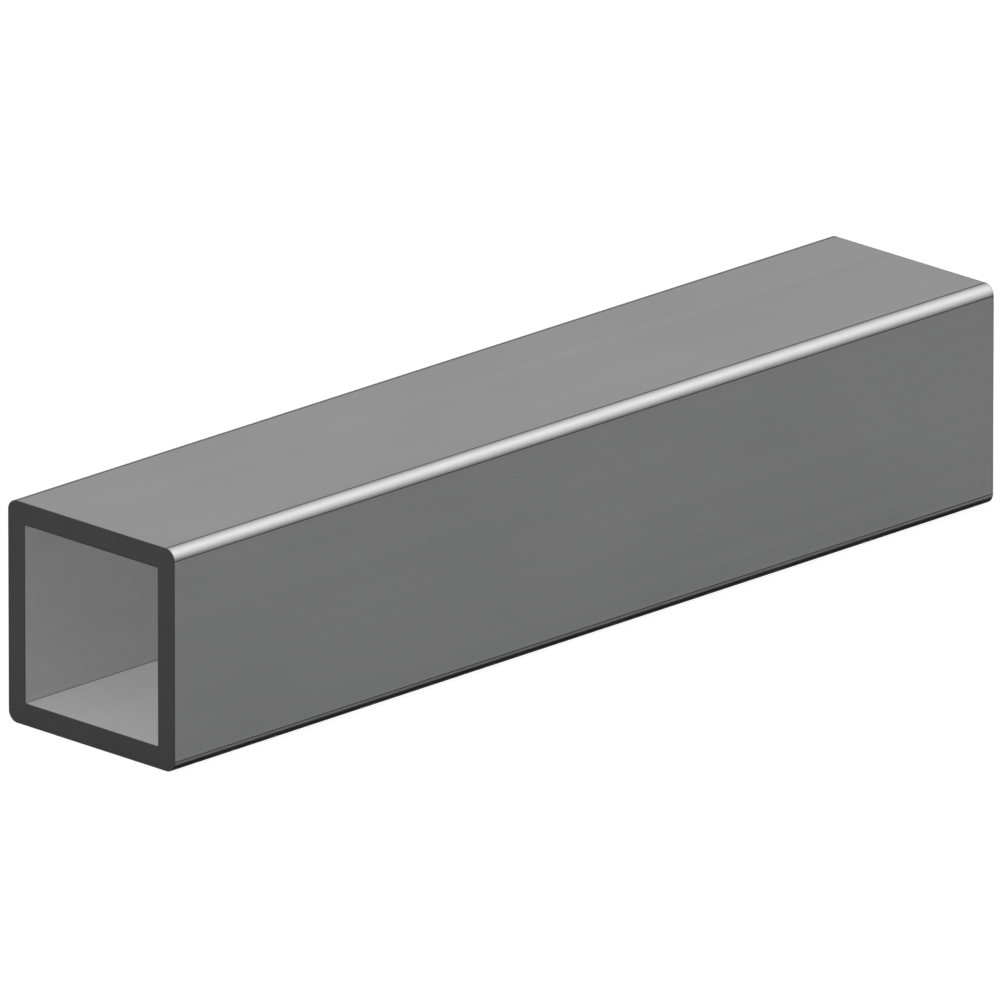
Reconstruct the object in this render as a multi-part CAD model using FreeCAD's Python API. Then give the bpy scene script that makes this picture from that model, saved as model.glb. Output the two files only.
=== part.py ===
"""Square metal tube, cut to length, lying flat on one of its four sides.

The tube is one piece: a square hollow section with well rounded outside corners and inside corners that
are all but sharp, sawn square at both ends and deburred. It lies along X with its middle over the origin,
its lower side on the plane Z = 0, and its section standing in the Y-Z plane. All sizes are in millimetres.
"""
import FreeCAD, Part

import math
import os

from FreeCAD import Vector

# Driving sizes of the section
SIDE = 100.0            # outside, across the flats
WALL = 10.0             # thickness of all four walls
OUTER_RADIUS = 5.0      # outside corners, half the wall
INNER_RADIUS = 0.5      # inside corners, the small radius that a mandrel or die leaves

# Driving sizes along the tube
LENGTH = 500.0          # from sawn end to sawn end
EDGE_BREAK = 0.2        # 45 degree deburring of every sawn edge, outside and in the bore

# What follows from them
BORE = SIDE - 2 * WALL
AXIS_HEIGHT = SIDE / 2
END_X = LENGTH / 2

# How near a coordinate has to be to count as lying on an end
ON_END = 1e-6


def corner_arc(y_side, z_side, reach, radius):
    """One corner's quarter circle in the plane X = 0, running anticlockwise as seen against X.

    The corner's sides are signs, and reach is how far its centre lies from the tube's axis along Y and Z.
    """
    centre = Vector(0, y_side * reach, AXIS_HEIGHT + z_side * reach)
    bulge = radius * math.sqrt(0.5)
    upright_tangent = centre + Vector(0, y_side * radius, 0)
    middle = centre + Vector(0, y_side * bulge, z_side * bulge)
    level_tangent = centre + Vector(0, 0, z_side * radius)
    if y_side == z_side:
        return Part.Arc(upright_tangent, middle, level_tangent)
    return Part.Arc(level_tangent, middle, upright_tangent)


def rounded_square(across, radius):
    """Closed wire of a square with round corners in the plane X = 0, centred on the tube's axis."""
    reach = across / 2 - radius
    corners = ((1, 1), (-1, 1), (-1, -1), (1, -1))
    arcs = [corner_arc(y_side, z_side, reach, radius) for y_side, z_side in corners]
    edges = []
    for arc, following in zip(arcs, arcs[1:] + arcs[:1]):
        flat = Part.LineSegment(arc.EndPoint, following.StartPoint)
        edges += [arc.toShape(), flat.toShape()]
    return Part.Wire(edges)


def hollow_section():
    """The wall's cross-section as one face: the outside outline with the bore's outline as its hole."""
    outline = Part.Face(rounded_square(SIDE, OUTER_RADIUS))
    bore = Part.Face(rounded_square(BORE, INNER_RADIUS))
    return outline.cut(bore).Faces[0]


def on_an_end(edge):
    """Whether an edge lies in the plane of one of the two sawn ends."""
    across_the_tube = math.isclose(edge.BoundBox.XLength, 0, abs_tol=ON_END)
    return across_the_tube and math.isclose(abs(edge.Vertexes[0].X), END_X, abs_tol=ON_END)


def make_tube():
    """The section drawn out to its length, then deburred around both sawn ends, outside and in the bore."""
    section = hollow_section()
    section.translate(Vector(-END_X, 0, 0))
    blank = section.extrude(Vector(LENGTH, 0, 0))
    sawn_edges = [edge for edge in blank.Edges if on_an_end(edge)]
    return blank.makeChamfer(EDGE_BREAK, sawn_edges)


def main():
    """Build the one piece and write it as a STEP file."""
    os.makedirs("parts", exist_ok=True)
    tube = make_tube()
    tube.exportStep("parts/square_tube.step")
    print(f"square_tube: {len(tube.Solids)} solid, valid {tube.isValid()}, "
          f"{tube.Volume / 1000:.1f} cm3, box {tube.BoundBox}")


main()
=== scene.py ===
"""Looks of a square metal tube: drawn skin, dull bore, sawn ends, and the pale studio it is shown in.

The tube is one piece of stock that lies along X on the plane Z = 0, with its section standing in the Y-Z
plane. Lengths are in metres and angles in degrees. A light's level is its own brightness, so that a lamp of
level 1 shows as plain white in a mirror.
"""

import logging
import math
from dataclasses import dataclass, field
from enum import Enum

import bmesh
import bpy
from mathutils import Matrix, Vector


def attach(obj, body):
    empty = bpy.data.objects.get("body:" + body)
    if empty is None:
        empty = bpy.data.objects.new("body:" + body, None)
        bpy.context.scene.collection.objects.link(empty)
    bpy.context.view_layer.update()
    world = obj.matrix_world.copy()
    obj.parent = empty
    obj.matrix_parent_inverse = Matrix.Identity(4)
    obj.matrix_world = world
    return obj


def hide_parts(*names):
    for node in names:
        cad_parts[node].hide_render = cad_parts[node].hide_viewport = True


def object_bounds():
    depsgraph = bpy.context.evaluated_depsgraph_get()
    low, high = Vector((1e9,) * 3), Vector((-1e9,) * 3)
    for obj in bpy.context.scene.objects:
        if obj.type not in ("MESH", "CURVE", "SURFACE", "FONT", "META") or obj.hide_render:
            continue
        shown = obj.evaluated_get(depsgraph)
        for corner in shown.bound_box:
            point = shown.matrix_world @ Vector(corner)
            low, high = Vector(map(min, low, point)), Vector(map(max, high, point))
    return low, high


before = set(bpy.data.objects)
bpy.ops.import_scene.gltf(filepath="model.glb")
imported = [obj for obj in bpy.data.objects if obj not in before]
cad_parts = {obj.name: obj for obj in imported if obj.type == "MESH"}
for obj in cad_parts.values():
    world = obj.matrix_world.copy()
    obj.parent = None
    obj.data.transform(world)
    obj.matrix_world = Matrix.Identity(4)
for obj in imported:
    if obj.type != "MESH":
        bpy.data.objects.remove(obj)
CAD_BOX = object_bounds()

LOG = logging.getLogger("square_tube")
NODE = "square_tube"
PIECE = "square_tube_finished"
BODY = "root"

Triple = tuple[float, float, float]
Colour = tuple[float, float, float, float]
Socket = bpy.types.NodeSocket
Amount = float | Triple | Colour | Socket

# How much of a noise's range is left out at each end, because the noise seldom gets there
FINE_MARGIN = 0.25
BROAD_MARGIN = 0.3

# How far apart the bands of a Wave Texture lie at a scale of 1
WAVE_PITCH = math.tau / 20

# Places along the tube that agree to this many decimals count as one
PLACE_DECIMALS = 6

# A face is part of a sawn end if its normal reaches further than this along the tube
END_LEAN = 0.1


def grey(level: float) -> Colour:
    """A neutral colour of the given linear brightness."""
    return (level, level, level, 1.0)


def bearing(turn: float, rise: float) -> Vector:
    """The unit vector to what stands at a turn from the front about Z, and at a rise above the floor."""
    around, up = math.radians(turn), math.radians(rise)
    return Vector((math.sin(around) * math.cos(up), -math.cos(around) * math.cos(up), math.sin(up)))


class Surface(Enum):
    """The tube's three kinds of surface, each with the index of its material slot."""

    SKIN = 0
    BORE = 1
    SAWN = 2


class Shadows(Enum):
    """Whether a lamp's light is stopped by what stands in its way."""

    CAST = True
    NONE = False


class NodeBoard:
    """Adds nodes to one shader tree and joins them, so that a finish reads as a list of steps."""

    def __init__(self, tree: bpy.types.NodeTree) -> None:
        """Take the tree of a material, a world or a group, and empty it."""
        self.tree = tree
        tree.nodes.clear()

    def feed(self, socket: Socket, value: Amount) -> None:
        """Set an input socket, or link it where the value is an output socket.

        Args:
            socket: The input socket.
            value: A number, a vector, a colour or an output socket.
        """
        if isinstance(value, Socket):
            self.tree.links.new(value, socket)
        else:
            socket.default_value = value

    def add(self, kind: str, settings: dict[str, object] | None = None, **inputs: Amount) -> bpy.types.Node:
        """Add a node.

        Args:
            kind: The node's type, without its ShaderNode prefix.
            settings: The node's own properties by name.
            **inputs: Its input sockets by name, with underscores for spaces.

        Returns:
            The new node.
        """
        node = self.tree.nodes.new("ShaderNode" + kind)
        for name, value in (settings or {}).items():
            setattr(node, name, value)
        for name, value in inputs.items():
            self.feed(node.inputs[name.replace("_", " ")], value)
        return node

    def maths(self, operation: str, *values: Amount) -> Socket:
        """Work out one number.

        Args:
            operation: The Math node's operation.
            *values: Up to three numbers or output sockets.

        Returns:
            The result's socket.
        """
        node = self.add("Math", {"operation": operation})
        for socket, value in zip(node.inputs, values):
            self.feed(socket, value)
        return node.outputs["Value"]

    def total(self, *values: Amount) -> Socket:
        """Add up several numbers.

        Args:
            *values: Two or more numbers or output sockets.

        Returns:
            The sum's socket.
        """
        result = values[0]
        for value in values[1:]:
            result = self.maths("ADD", result, value)
        return result

    def ramp(self, value: Amount, low: float, high: float, at_low: Amount, at_high: Amount) -> Socket:
        """Ease a number from one level to another between two limits.

        Args:
            value: The number's socket.
            low: Where the change begins.
            high: Where the change ends.
            at_low: The result below the first limit.
            at_high: The result above the second limit.

        Returns:
            The result's socket.
        """
        node = self.add("MapRange", {"interpolation_type": "SMOOTHSTEP"}, Value=value, From_Min=low,
                        From_Max=high, To_Min=at_low, To_Max=at_high)
        return node.outputs["Result"]

    def swing(self, pattern: Amount, reach: float, middle: float = 0.0, margin: float = 0.0) -> Socket:
        """Turn a pattern from 0 to 1 into a number that swings by its reach to both sides of a middle."""
        return self.ramp(pattern, margin, 1.0 - margin, middle - reach, middle + reach)

    def darken(self, tone: Amount, mask: Amount, share: float) -> Socket:
        """Leave only a share of a tone where a mask is 1, and all of it where the mask is 0."""
        return self.maths("MULTIPLY", tone, self.ramp(mask, 0.0, 1.0, 1.0, share))

    def place(self) -> Socket:
        """The point on the piece, in metres along X, Y and Z."""
        return self.add("TexCoord").outputs["Object"]

    def effect(self, tree: bpy.types.NodeTree, **inputs: Amount) -> Socket:
        """Place a shared effect, with its inputs by name as any node's, and give its one output."""
        return self.add("Group", {"node_tree": tree}, **inputs).outputs[0]


class Effects:
    """The effects that more than one finish of the tube uses, each built once as a node group."""

    # Where a corner line begins to fade and where it is gone, in its widths from its middle
    CORNER_FADE = (0.25, 0.75)

    # The same for a rim line, in its widths from the sawn edge
    RIM_FADE = (0.5, 1.0)

    def __init__(self) -> None:
        """Build every group."""
        self.streaks = self.build_streaks()
        self.clouds = self.build_clouds()
        self.corner_lines = self.build_corner_lines()
        self.rim_lines = self.build_rim_lines()

    @staticmethod
    def start(name: str, output: str, inputs: dict[str, float]) -> tuple[NodeBoard, bpy.types.NodeOutputs]:
        """Make an empty group that puts out one number.

        Args:
            name: The group's name.
            output: The name of its output.
            inputs: Its number inputs and what they are unless a material says otherwise.

        Returns:
            The group's board, and its inputs as sockets to link from.
        """
        tree = bpy.data.node_groups.new(name, "ShaderNodeTree")
        for label, usual in inputs.items():
            socket = tree.interface.new_socket(label, in_out="INPUT", socket_type="NodeSocketFloat")
            socket.default_value = usual
        tree.interface.new_socket(output, in_out="OUTPUT", socket_type="NodeSocketFloat")
        board = NodeBoard(tree)
        return board, tree.nodes.new("NodeGroupInput").outputs

    @staticmethod
    def finish(board: NodeBoard, result: Socket) -> bpy.types.NodeTree:
        """Join a result to the output of a board's group, and give the finished group."""
        board.feed(board.tree.nodes.new("NodeGroupOutput").inputs[0], result)
        return board.tree

    def build_streaks(self) -> bpy.types.NodeTree:
        """Build the lines that a die draws out along X, from 0 to 1, with a pitch across and a run along.

        Returns:
            The finished group.
        """
        board, given = self.start("drawn_streaks", "Streaks", {"Pitch": 0.002, "Run": 0.3, "Seed": 0.0})
        along = board.maths("DIVIDE", 1.0, given["Run"])
        across = board.maths("DIVIDE", 1.0, given["Pitch"])
        scale = board.add("CombineXYZ", X=along, Y=across, Z=across).outputs["Vector"]
        stretched = board.add("VectorMath", {"operation": "MULTIPLY"})
        board.feed(stretched.inputs[0], board.place())
        board.feed(stretched.inputs[1], scale)
        noise = board.add("TexNoise", {"noise_dimensions": "4D"}, Vector=stretched.outputs["Vector"],
                          W=given["Seed"], Scale=1.0, Detail=2.0, Roughness=0.55)
        return self.finish(board, noise.outputs["Fac"])

    def build_clouds(self) -> bpy.types.NodeTree:
        """Build the broad soft patches that storage and handling leave on bare metal, from 0 to 1.

        Returns:
            The finished group.
        """
        board, given = self.start("clouds", "Clouds", {"Size": 0.06, "Seed": 0.0})
        scale = board.maths("DIVIDE", 1.0, given["Size"])
        noise = board.add("TexNoise", {"noise_dimensions": "4D"}, Vector=board.place(), W=given["Seed"],
                          Scale=scale, Detail=3.0, Roughness=0.6)
        return self.finish(board, noise.outputs["Fac"])

    def build_corner_lines(self) -> bpy.types.NodeTree:
        """Build the mask, from 0 to 1, of thin lines where the corners' arcs run out into the flats.

        With both offsets from the tube's axis taken as positive, the two lines of each corner cross the
        section at (Half, Half - Radius), on an upright flat, and at (Half - Radius, Half), on a level one.

        Returns:
            The finished group.
        """
        board, given = self.start("corner_lines", "Lines", {
            "Half": 0.05, "Radius": 0.005, "Axis Height": 0.05,
            "Upright Width": 0.0005, "Level Width": 0.0005,
        })
        split = board.add("SeparateXYZ", Vector=board.place()).outputs
        aside = board.maths("ABSOLUTE", split["Y"])
        above = board.maths("ABSOLUTE", board.maths("SUBTRACT", split["Z"], given["Axis Height"]))
        reach = board.maths("SUBTRACT", given["Half"], given["Radius"])
        upright = (given["Half"], reach, given["Upright Width"])
        level = (reach, given["Half"], given["Level Width"])
        widths_away = []
        for line_y, line_z, width in (upright, level):
            off_y = board.maths("SUBTRACT", aside, line_y)
            off_z = board.maths("SUBTRACT", above, line_z)
            square = board.maths("MULTIPLY_ADD", off_z, off_z, board.maths("MULTIPLY", off_y, off_y))
            widths_away.append(board.maths("DIVIDE", board.maths("SQRT", square), width))
        nearest = board.maths("MINIMUM", *widths_away)
        return self.finish(board, board.ramp(nearest, *self.CORNER_FADE, 1.0, 0.0))

    def build_rim_lines(self) -> bpy.types.NodeTree:
        """Build the mask, from 0 to 1, of a thin line on the skin and in the bore along each sawn edge.

        Returns:
            The finished group.
        """
        board, given = self.start("rim_lines", "Lines", {"Half Length": 0.25, "Width": 0.0006})
        along = board.add("SeparateXYZ", Vector=board.place()).outputs["X"]
        inwards = board.maths("SUBTRACT", given["Half Length"], board.maths("ABSOLUTE", along))
        widths_away = board.maths("DIVIDE", inwards, given["Width"])
        return self.finish(board, board.ramp(widths_away, *self.RIM_FADE, 1.0, 0.0))


@dataclass(frozen=True)
class Metal:
    """What all finishes of the tube share: a neutral base colour, how bare the metal is, and its gloss.

    The level is the base colour's, and the edge tint is the gloss's at a glancing view. In each finish, the
    tones of marks are shares of the base colour, and their glosses are steps up and down in roughness.
    """

    level: float
    metallic: float
    roughness: float
    edge_tint: float = 0.7

    def start(self, name: str) -> tuple[bpy.types.Material, NodeBoard]:
        """Make an empty material.

        Args:
            name: The material's name.

        Returns:
            The material and the board of its tree.
        """
        material = bpy.data.materials.new(name)
        material.use_nodes = True
        return material, NodeBoard(material.node_tree)

    def finish(self, board: NodeBoard, tone: Socket, gloss: Socket, relief: Socket, depth: float) -> None:
        """End the tree in a metal shader.

        Args:
            board: The material's board.
            tone: What the base colour is multiplied by over the surface.
            gloss: What is added to the roughness over the surface.
            relief: The height of the marks, from 0 to 1.
            depth: How deep the marks are.
        """
        colour = board.add("VectorMath", {"operation": "SCALE"}, Scale=tone)
        board.feed(colour.inputs[0], grey(self.level)[:3])
        bump = board.add("Bump", Strength=1.0, Distance=depth, Height=relief)
        metal = board.add("BsdfPrincipled", Base_Color=colour.outputs["Vector"], Metallic=self.metallic,
                          Roughness=board.maths("ADD", gloss, self.roughness),
                          Specular_Tint=grey(self.edge_tint), Normal=bump.outputs["Normal"])
        board.add("OutputMaterial", Surface=metal.outputs["BSDF"])


@dataclass(frozen=True)
class DrawnSkin(Metal):
    """The outside: satin grey, with fine lines from the die, darker lines where the corners begin, and
    painted shade in the two lower corners.
    """

    level: float = 0.225
    metallic: float = 0.95
    roughness: float = 0.38

    # Fine lines from the die
    die_pitch: float = 0.0012
    die_run: float = 0.5
    die_tone: float = 0.03
    die_gloss: float = 0.02
    die_depth: float = 0.000012

    # Broader bands among them
    band_pitch: float = 0.007
    band_run: float = 0.9
    band_tone: float = 0.012

    # Patches from handling
    cloud_size: float = 0.07
    cloud_tone: float = 0.012
    cloud_gloss: float = 0.015

    # Dark lines along the corners, on the upright and the level flats, and along the sawn edges
    upright_line: float = 0.0005
    level_line: float = 0.0009
    line_tone: float = 0.2
    rim_width: float = 0.0006
    rim_tone: float = 0.5

    # Painted shade in the two lower corners, where the tube lies on the floor: how high it ends and is at
    # its full, and how much the underside has of it
    lower_shade_tone: float = 0.06
    lower_shade_height: float = 0.0047
    lower_shade_full: float = 0.0026
    underside_shade_share: float = 0.15

    def painted_lower_shade(self, board: NodeBoard, tube: "SquareTube") -> Socket:
        """Find the painted shade in the two corners that the tube lies on, fainter across its underside.

        Args:
            board: The material's board.
            tube: The tube, for the place of its corners.

        Returns:
            How much painted shade there is, from 0 to 1.
        """
        split = board.add("SeparateXYZ", Vector=board.place()).outputs
        low = board.ramp(split["Z"], self.lower_shade_full, self.lower_shade_height, 1.0, 0.0)
        corner = tube.side / 2 - tube.outer_radius
        aside = board.maths("ABSOLUTE", split["Y"])
        share = board.ramp(aside, corner - tube.outer_radius, corner, self.underside_shade_share, 1.0)
        return board.maths("MULTIPLY", low, share)

    def material(self, effects: Effects, tube: "SquareTube") -> bpy.types.Material:
        """Build the material.

        Args:
            effects: The shared node groups.
            tube: The tube, for the places of its corners and ends.

        Returns:
            The finished material.
        """
        material, board = self.start("drawn_skin")
        die = board.effect(effects.streaks, Pitch=self.die_pitch, Run=self.die_run)
        bands = board.effect(effects.streaks, Pitch=self.band_pitch, Run=self.band_run, Seed=3.0)
        clouds = board.effect(effects.clouds, Size=self.cloud_size)
        lines = board.effect(effects.corner_lines, Half=tube.side / 2, Radius=tube.outer_radius,
                             Axis_Height=tube.axis_height, Upright_Width=self.upright_line,
                             Level_Width=self.level_line)
        rims = board.effect(effects.rim_lines, Half_Length=tube.length / 2, Width=self.rim_width)
        tone = board.total(board.swing(die, self.die_tone, middle=1.0, margin=FINE_MARGIN),
                           board.swing(bands, self.band_tone, margin=BROAD_MARGIN),
                           board.swing(clouds, self.cloud_tone, margin=BROAD_MARGIN))
        tone = board.darken(tone, lines, self.line_tone)
        tone = board.darken(tone, rims, self.rim_tone)
        # Painted shade: the two lower corners are darkened, and the underside more faintly
        tone = board.darken(tone, self.painted_lower_shade(board, tube), self.lower_shade_tone)
        gloss = board.total(board.swing(die, self.die_gloss, margin=FINE_MARGIN),
                            board.swing(clouds, self.cloud_gloss, margin=BROAD_MARGIN))
        self.finish(board, tone, gloss, die, self.die_depth)
        return material


@dataclass(frozen=True)
class DullBore(Metal):
    """The inside: the same metal left duller and painted lighter than the skin to make up for the shade
    inside, with coarser die lines and a dark line in each corner.
    """

    # A base colour well above the skin's: painted light that makes up for the shade inside the bore
    level: float = 0.412
    metallic: float = 0.35
    roughness: float = 0.6

    # Lines from the mandrel or plug that the bore is drawn over
    die_pitch: float = 0.0018
    die_run: float = 0.3
    die_tone: float = 0.035
    die_gloss: float = 0.03
    die_depth: float = 0.00002

    # Patches of dull film
    cloud_size: float = 0.05
    cloud_tone: float = 0.02

    # Dark lines in the corners and along the sawn edges
    line_width: float = 0.0007
    line_tone: float = 0.5
    rim_width: float = 0.0006
    rim_tone: float = 0.5

    def material(self, effects: Effects, tube: "SquareTube") -> bpy.types.Material:
        """Build the material.

        Args:
            effects: The shared node groups.
            tube: The tube, for the places of its corners and ends.

        Returns:
            The finished material.
        """
        material, board = self.start("dull_bore")
        die = board.effect(effects.streaks, Pitch=self.die_pitch, Run=self.die_run, Seed=7.0)
        clouds = board.effect(effects.clouds, Size=self.cloud_size, Seed=2.0)
        lines = board.effect(effects.corner_lines, Half=tube.bore / 2, Radius=0.0,
                             Axis_Height=tube.axis_height, Upright_Width=self.line_width,
                             Level_Width=self.line_width)
        rims = board.effect(effects.rim_lines, Half_Length=tube.length / 2, Width=self.rim_width)
        tone = board.total(board.swing(die, self.die_tone, middle=1.0, margin=FINE_MARGIN),
                           board.swing(clouds, self.cloud_tone, margin=BROAD_MARGIN))
        tone = board.darken(tone, lines, self.line_tone)
        tone = board.darken(tone, rims, self.rim_tone)
        gloss = board.swing(die, self.die_gloss, margin=FINE_MARGIN)
        self.finish(board, tone, gloss, die, self.die_depth)
        return material


@dataclass(frozen=True)
class SawnEnd(Metal):
    """The cut ends: painted darker than the skin as painted shade, with the close marks of a saw and a
    darker broken edge.
    """

    # A base colour far below the skin's: painted shade on the ends
    level: float = 0.064
    metallic: float = 0.9
    roughness: float = 0.5

    # Marks of the saw, which lean a little from upright
    mark_pitch: float = 0.0011
    mark_lean: float = 7.0
    mark_tone: float = 0.06
    mark_gloss: float = 0.03
    mark_depth: float = 0.000015

    # Patches from the cut, and what the broken edge keeps of the tone
    cloud_size: float = 0.02
    cloud_tone: float = 0.04
    edge_tone: float = 0.45

    def material(self, effects: Effects, tube: "SquareTube") -> bpy.types.Material:
        """Build the material.

        Args:
            effects: The shared node groups.
            tube: The tube, for the places of its ends.

        Returns:
            The finished material.
        """
        material, board = self.start("sawn_end")
        lean = (math.radians(self.mark_lean), 0.0, 0.0)
        turned = board.add("Mapping", Vector=board.place(), Rotation=lean)
        marks = board.add("TexWave", {"bands_direction": "Y"}, Vector=turned.outputs["Vector"],
                          Scale=WAVE_PITCH / self.mark_pitch, Distortion=1.6, Detail=2.0,
                          Detail_Scale=0.6).outputs["Fac"]
        clouds = board.effect(effects.clouds, Size=self.cloud_size, Seed=5.0)
        along = board.add("SeparateXYZ", Vector=board.place()).outputs["X"]
        inwards = board.maths("SUBTRACT", tube.length / 2, board.maths("ABSOLUTE", along))
        edge = board.ramp(inwards, 0.0, tube.edge_break / 2, 1.0, self.edge_tone)
        tone = board.total(board.swing(marks, self.mark_tone, middle=1.0),
                           board.swing(clouds, self.cloud_tone, margin=BROAD_MARGIN))
        tone = board.maths("MULTIPLY", tone, edge)
        gloss = board.swing(marks, self.mark_gloss)
        self.finish(board, tone, gloss, marks, self.mark_depth)
        return material


@dataclass
class SquareTube:
    """The tube as one closed mesh of clean strips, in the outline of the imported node."""

    # The lowest and the highest corner of the node's box
    low: Vector
    high: Vector

    # The section, and how far the sawn edges are broken
    wall: float = 0.010
    outer_radius: float = 0.005
    inner_radius: float = 0.0005
    edge_break: float = 0.0002

    # How many strips go round a corner and across a broken edge
    corner_steps: int = 16
    edge_steps: int = 3

    # The finish of each surface
    skin: DrawnSkin = field(default_factory=DrawnSkin)
    inside: DullBore = field(default_factory=DullBore)
    ends: SawnEnd = field(default_factory=SawnEnd)

    @property
    def length(self) -> float:
        """From sawn end to sawn end."""
        return self.high.x - self.low.x

    @property
    def side(self) -> float:
        """Outside size across the flats."""
        return self.high.z - self.low.z

    @property
    def bore(self) -> float:
        """Inside size across the flats."""
        return self.side - 2 * self.wall

    @property
    def middle(self) -> Vector:
        """The middle of the tube, on its axis."""
        return (self.low + self.high) / 2

    @property
    def axis_height(self) -> float:
        """How high the tube's axis lies."""
        return self.middle.z

    def add_sleeve(self, bm: bmesh.types.BMesh, across: float, radius: float) -> None:
        """Add one square sleeve with round corners and open ends.

        Args:
            bm: The mesh that it is added to.
            across: Its size across the flats.
            radius: The radius of its four corners.
        """
        before = set(bm.faces)
        corners = bmesh.ops.create_cube(bm, size=1.0)["verts"]
        bmesh.ops.scale(bm, vec=(self.length, across, across), verts=corners)
        bmesh.ops.translate(bm, vec=self.middle, verts=corners)
        edges = {edge for vert in corners for edge in vert.link_edges}
        long_edges = [edge for edge in edges if edge.verts[0].co.x * edge.verts[1].co.x < 0]
        long_edges.sort(key=lambda edge: (edge.verts[0].co.y, edge.verts[0].co.z))
        bmesh.ops.bevel(bm, geom=long_edges, offset=radius, offset_type="OFFSET",
                        segments=self.corner_steps, profile=0.5, affect="EDGES", material=-1)
        at_end = [face for face in bm.faces if face not in before
                  and len({round(vert.co.x, PLACE_DECIMALS) for vert in face.verts}) == 1]
        bmesh.ops.delete(bm, geom=at_end, context="FACES_ONLY")

    def build_mesh(self) -> bpy.types.Mesh:
        """Make the bore and the outside, join them at the ends and break the sawn edges.

        Returns:
            The mesh, in place, with a material index for each kind of surface.
        """
        bm = bmesh.new()
        self.add_sleeve(bm, self.bore, self.inner_radius)
        bmesh.ops.reverse_faces(bm, faces=bm.faces[:])
        self.add_sleeve(bm, self.side, self.outer_radius)
        rims = [edge for edge in bm.edges if edge.is_boundary]
        for sign in (-1, 1):
            bmesh.ops.bridge_loops(bm, edges=[edge for edge in rims if edge.verts[0].co.x * sign > 0])
        bmesh.ops.bevel(bm, geom=rims, offset=self.edge_break, offset_type="OFFSET",
                        segments=self.edge_steps, profile=0.5, affect="EDGES", material=-1)
        bmesh.ops.recalc_face_normals(bm, faces=bm.faces[:])
        self.sort_surfaces(bm)
        mesh = bpy.data.meshes.new(PIECE)
        bm.to_mesh(mesh)
        bm.free()
        return mesh

    def sort_surfaces(self, bm: bmesh.types.BMesh) -> None:
        """Tell each face which kind of surface it is, and shade it smooth.

        Args:
            bm: The finished mesh.
        """
        mid_wall = (self.side - self.wall) / 2
        for face in bm.faces:
            off_axis = face.calc_center_median() - self.middle
            if abs(face.normal.x) > END_LEAN:
                kind = Surface.SAWN
            elif max(abs(off_axis.y), abs(off_axis.z)) < mid_wall:
                kind = Surface.BORE
            else:
                kind = Surface.SKIN
            face.material_index = kind.value
            face.smooth = True

    def build(self, effects: Effects) -> bpy.types.Object:
        """Make the piece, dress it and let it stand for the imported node.

        Args:
            effects: The shared node groups.

        Returns:
            The finished piece.
        """
        mesh = self.build_mesh()
        piece = bpy.data.objects.new(PIECE, mesh)
        bpy.context.scene.collection.objects.link(piece)
        finishes = {Surface.SKIN: self.skin, Surface.BORE: self.inside, Surface.SAWN: self.ends}
        for surface in Surface:
            mesh.materials.append(finishes[surface].material(effects, self))
        flats = piece.modifiers.new("even_flats", "WEIGHTED_NORMAL")
        flats.mode = "FACE_AREA"
        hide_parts(NODE)
        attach(piece, BODY)
        LOG.info("%s: %d faces", piece.name, len(mesh.polygons))
        return piece


@dataclass(frozen=True)
class SoftLamp:
    """A round soft light far away: where it stands as seen from the tube, half its width and its level."""

    name: str
    turn: float
    rise: float
    half_angle: float
    level: float
    shadows: Shadows = Shadows.CAST
    only_on: bpy.types.Object | None = None

    def build(self) -> None:
        """Make the lamp."""
        spread = math.radians(self.half_angle)
        light = bpy.data.lights.new(self.name, "SUN")
        light.angle = 2 * spread
        light.energy = math.pi * self.level * math.sin(spread) ** 2
        light.use_shadow = self.shadows.value
        # The tube would stop the rays that its metal sends out to find the lamp, even with shadows off
        light.cycles.use_multiple_importance_sampling = self.shadows.value
        lamp = bpy.data.objects.new(self.name, light)
        lamp.rotation_euler = bearing(self.turn, self.rise).to_track_quat("Z", "Y").to_euler()
        bpy.context.scene.collection.objects.link(lamp)
        if self.only_on is not None:
            lit = bpy.data.collections.new(self.name + "_lights_only")
            lit.objects.link(self.only_on)
            lamp.light_linking.receiver_collection = lit
        LOG.info("%s: level %.2f", self.name, self.level)


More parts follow.
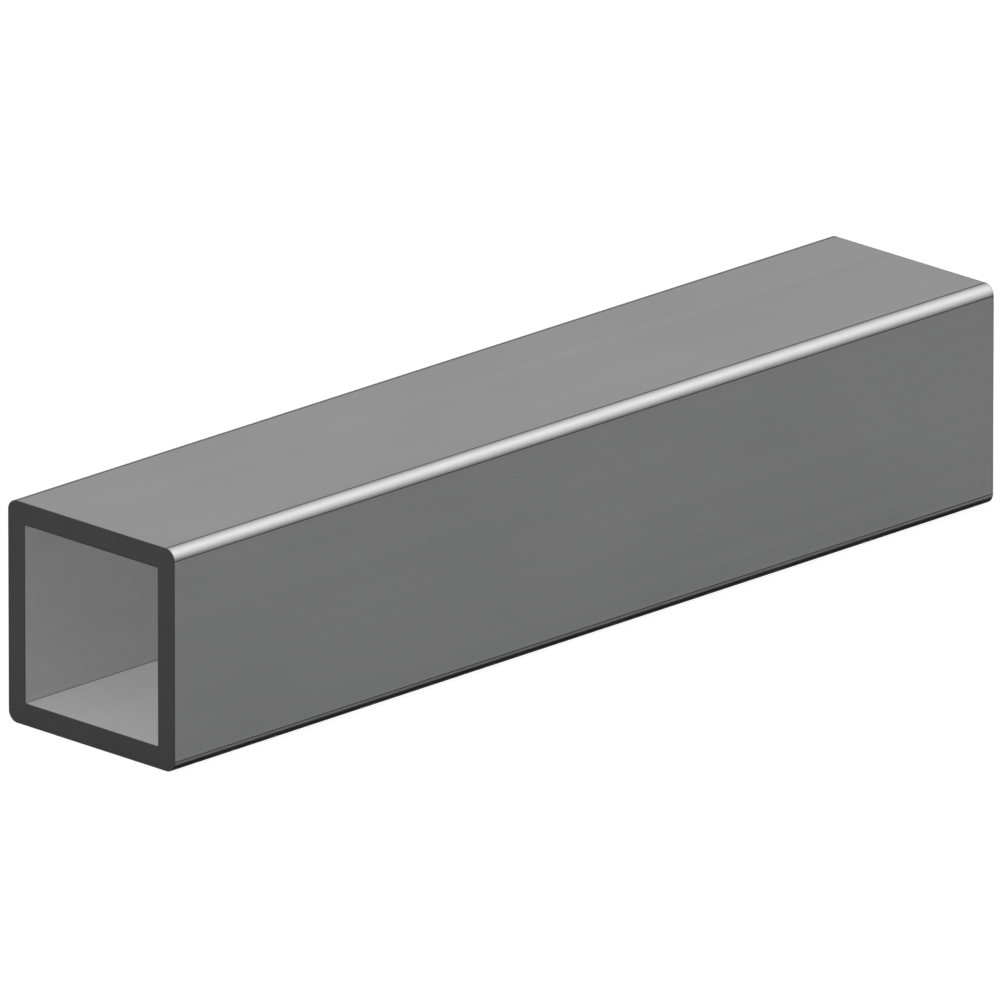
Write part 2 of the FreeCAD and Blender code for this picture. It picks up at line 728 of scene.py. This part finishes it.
@dataclass(frozen=True)
class Studio:
    """A plain pale floor in a white room under soft lamps."""

    # The floor, which lies a gap below the tube, and its diffuse colour
    floor_size: float = 12.0
    floor_gap: float = 0.0001
    floor_level: float = 0.8

    # The white that the floor glows with, and the shares of it that the camera sees and that metal mirrors
    floor_white: float = 1.34
    seen_share: float = 0.7
    mirrored_share: float = 0.038

    # How bright the room is as a light on dull surfaces
    room_level: float = 0.25

    @staticmethod
    def white_share(board: NodeBoard, seen: float, mirrored: float) -> Socket:
        """How much plain white a ray meets, by what kind of ray it is.

        Args:
            board: The board of the floor's material or of the world.
            seen: The share that the camera sees.
            mirrored: The share that metal and glass show.

        Returns:
            The share's socket, from 0 to 1.
        """
        path = board.add("LightPath").outputs
        in_metal = board.maths("MAXIMUM", path["Is Glossy Ray"], path["Is Transmission Ray"])
        share = board.maths("MULTIPLY", in_metal, mirrored)
        return board.maths("MULTIPLY_ADD", path["Is Camera Ray"], seen, share)

    def build_floor(self) -> None:
        """Make the floor, which shows white, keeps a faint shadow and can't be seen from below."""
        bm = bmesh.new()
        bmesh.ops.create_grid(bm, x_segments=1, y_segments=1, size=self.floor_size / 2)
        mesh = bpy.data.meshes.new("floor")
        bm.to_mesh(mesh)
        bm.free()
        floor = bpy.data.objects.new("floor", mesh)
        floor.location.z = -self.floor_gap
        bpy.context.scene.collection.objects.link(floor)
        material = bpy.data.materials.new("pale_floor")
        material.use_nodes = True
        board = NodeBoard(material.node_tree)
        share = self.white_share(board, self.seen_share, self.mirrored_share)
        from_above = board.add("MixShader", Fac=share)
        pale = board.add("BsdfDiffuse", Color=grey(self.floor_level))
        board.feed(from_above.inputs[1], pale.outputs["BSDF"])
        white = board.add("Emission", Color=grey(1.0), Strength=self.floor_white)
        board.feed(from_above.inputs[2], white.outputs["Emission"])
        both = board.add("MixShader", Fac=board.add("NewGeometry").outputs["Backfacing"])
        board.feed(both.inputs[1], from_above.outputs["Shader"])
        board.feed(both.inputs[2], board.add("BsdfTransparent").outputs["BSDF"])
        board.add("OutputMaterial", Surface=both.outputs["Shader"])
        mesh.materials.append(material)

    def build_room(self) -> None:
        """Make the world: white to the eye and in metal, and a soft grey as a light."""
        world = bpy.data.worlds.new("white_room")
        world.use_nodes = True
        bpy.context.scene.world = world
        board = NodeBoard(world.node_tree)
        level = board.ramp(self.white_share(board, 1.0, 1.0), 0.0, 1.0, self.room_level, 1.0)
        sky = board.add("Background", Color=grey(1.0), Strength=level)
        board.add("OutputWorld", Surface=sky.outputs["Background"])

    def build(self, tube: bpy.types.Object) -> None:
        """Make the floor, the room and the lamps.

        Args:
            tube: The finished tube. All lamps but the one overhead light it alone.
        """
        self.build_floor()
        self.build_room()
        lamps = (
            SoftLamp("overhead_softbox", turn=0.0, rise=90.0, half_angle=60.0, level=0.3),
            SoftLamp("edge_softbox", turn=64.7, rise=41.6, half_angle=42.0, level=1.48, only_on=tube),
            SoftLamp("edge_softbox_core", turn=64.7, rise=41.6, half_angle=20.0, level=1.32, only_on=tube),
            SoftLamp("right_softbox", turn=45.0, rise=10.0, half_angle=45.0, level=0.265,
                     shadows=Shadows.NONE, only_on=tube),
            SoftLamp("bore_light", turn=-135.0, rise=50.0, half_angle=45.0, level=1.325,
                     shadows=Shadows.NONE, only_on=tube),
            SoftLamp("low_back_softbox", turn=180.0, rise=-37.0, half_angle=45.0, level=0.3,
                     shadows=Shadows.NONE, only_on=tube),
            SoftLamp("underside_light", turn=0.0, rise=-90.0, half_angle=60.0, level=0.1,
                     shadows=Shadows.NONE, only_on=tube),
        )
        for lamp in lamps:
            lamp.build()


@dataclass(frozen=True)
class ViewPoint:
    """A very long lens, so that the tube's edges stay all but parallel in the picture.

    The lens and the sensor are in millimetres, and the frame's width is in metres at the point aimed at.
    """

    turn: float = -45.3848
    rise: float = 18.7457
    lens: float = 1600.0
    sensor: float = 36.0
    frame_width: float = 0.4286
    aim: Triple = (-0.00121, 0.00146, 0.05048)

    def build(self) -> None:
        """Make the camera and set it as the scene's."""
        back = bearing(self.turn, self.rise)
        data = bpy.data.cameras.new("long_lens")
        data.lens = self.lens
        data.sensor_width = self.sensor
        camera = bpy.data.objects.new("long_lens", data)
        camera.location = Vector(self.aim) + back * self.frame_width * self.lens / self.sensor
        camera.rotation_euler = back.to_track_quat("Z", "Y").to_euler()
        bpy.context.scene.collection.objects.link(camera)
        bpy.context.scene.camera = camera


def main() -> None:
    """Build the tube, the studio and the camera."""
    logging.basicConfig(level=logging.INFO, format="%(name)s %(message)s")
    bpy.context.scene.view_settings.view_transform = "Standard"
    ViewPoint().build()
    tube = SquareTube(*CAD_BOX).build(Effects())
    Studio().build(tube)


if __name__ == "__main__":
    main()
